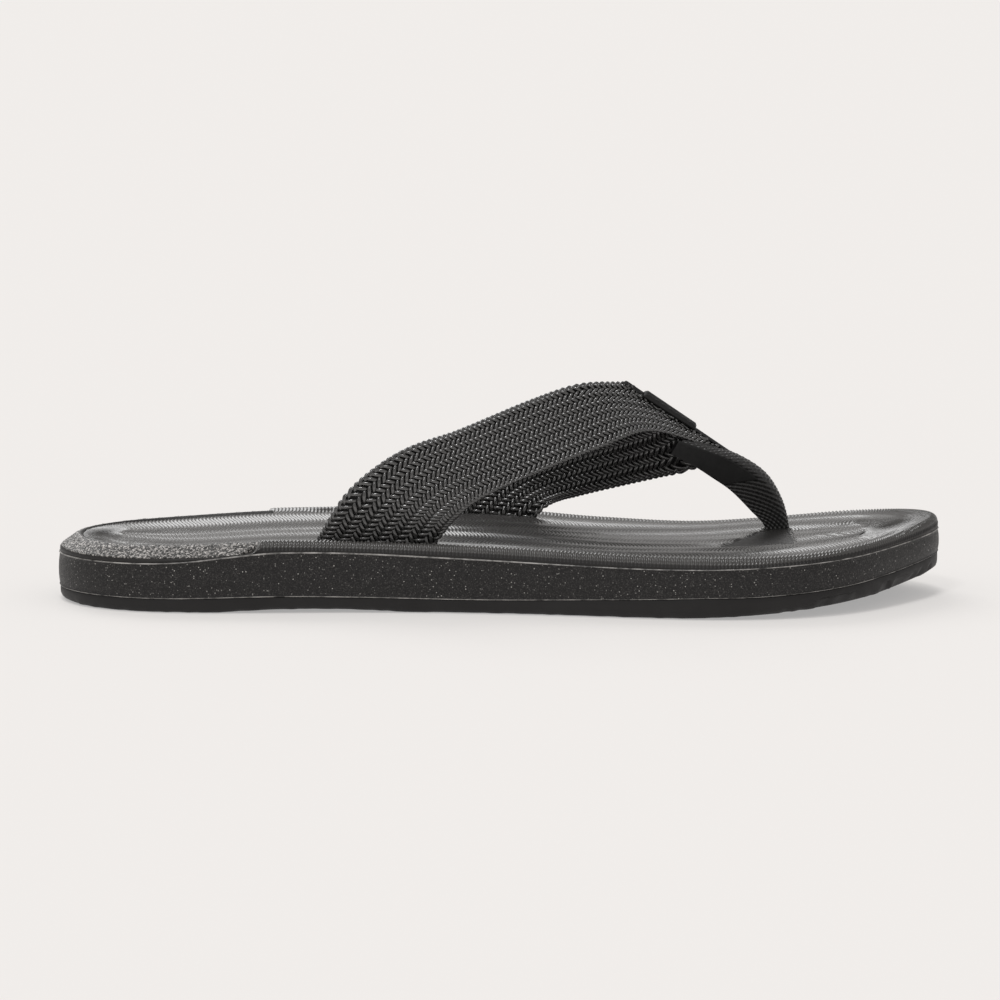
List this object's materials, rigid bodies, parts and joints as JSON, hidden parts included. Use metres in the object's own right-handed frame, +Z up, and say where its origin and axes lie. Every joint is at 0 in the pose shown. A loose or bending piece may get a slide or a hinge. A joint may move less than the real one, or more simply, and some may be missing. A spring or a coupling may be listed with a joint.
{
  "type": "flip flop",
  "caption": "Right-foot thong sandal with a layered foam sole, dished ribbed footbed, braided V strap and a webbing thong between the toes.",
  "frame": {"origin": "on the ground, under the middle of the sole's bounding box", "axes": "+X from heel to toe, +Y from the lateral to the medial side of a right foot, +Z up"},
  "size_m": [0.2901, 0.1033, 0.0699],
  "materials": {
    "outsole": "matte black moulded rubber with tread grooves",
    "midsole": "closed-cell foam skin, black with fine light speckles",
    "footbed": "soft black foam moulded with fine ribs across it, satin",
    "heel_collar": "black foam with a sand-grain moulded texture",
    "toe_anchor": "moulded thermoplastic disc, hidden in the midsole",
    "braid": "black round yarns in a flat two-over-two braid, slight sheen",
    "webbing": "fine black plain-woven webbing",
    "lining": "smooth black microfibre tape",
    "label": "plain smooth black tab with rounded edges",
    "thread": "black polyester sewing thread"
  },
  "bodies": {
    "root": {"outsole": "outsole", "midsole": "midsole", "footbed": "footbed", "heel_collar": "heel_collar", "toe_anchor": "toe_anchor", "strap_lateral": "braid", "strap_medial": "braid", "thong_webbing": "webbing", "thong_lining": "lining", "centre_tape": "lining", "label_patch": "label", "label_stitches": "thread"}
  },
  "joints": []
}
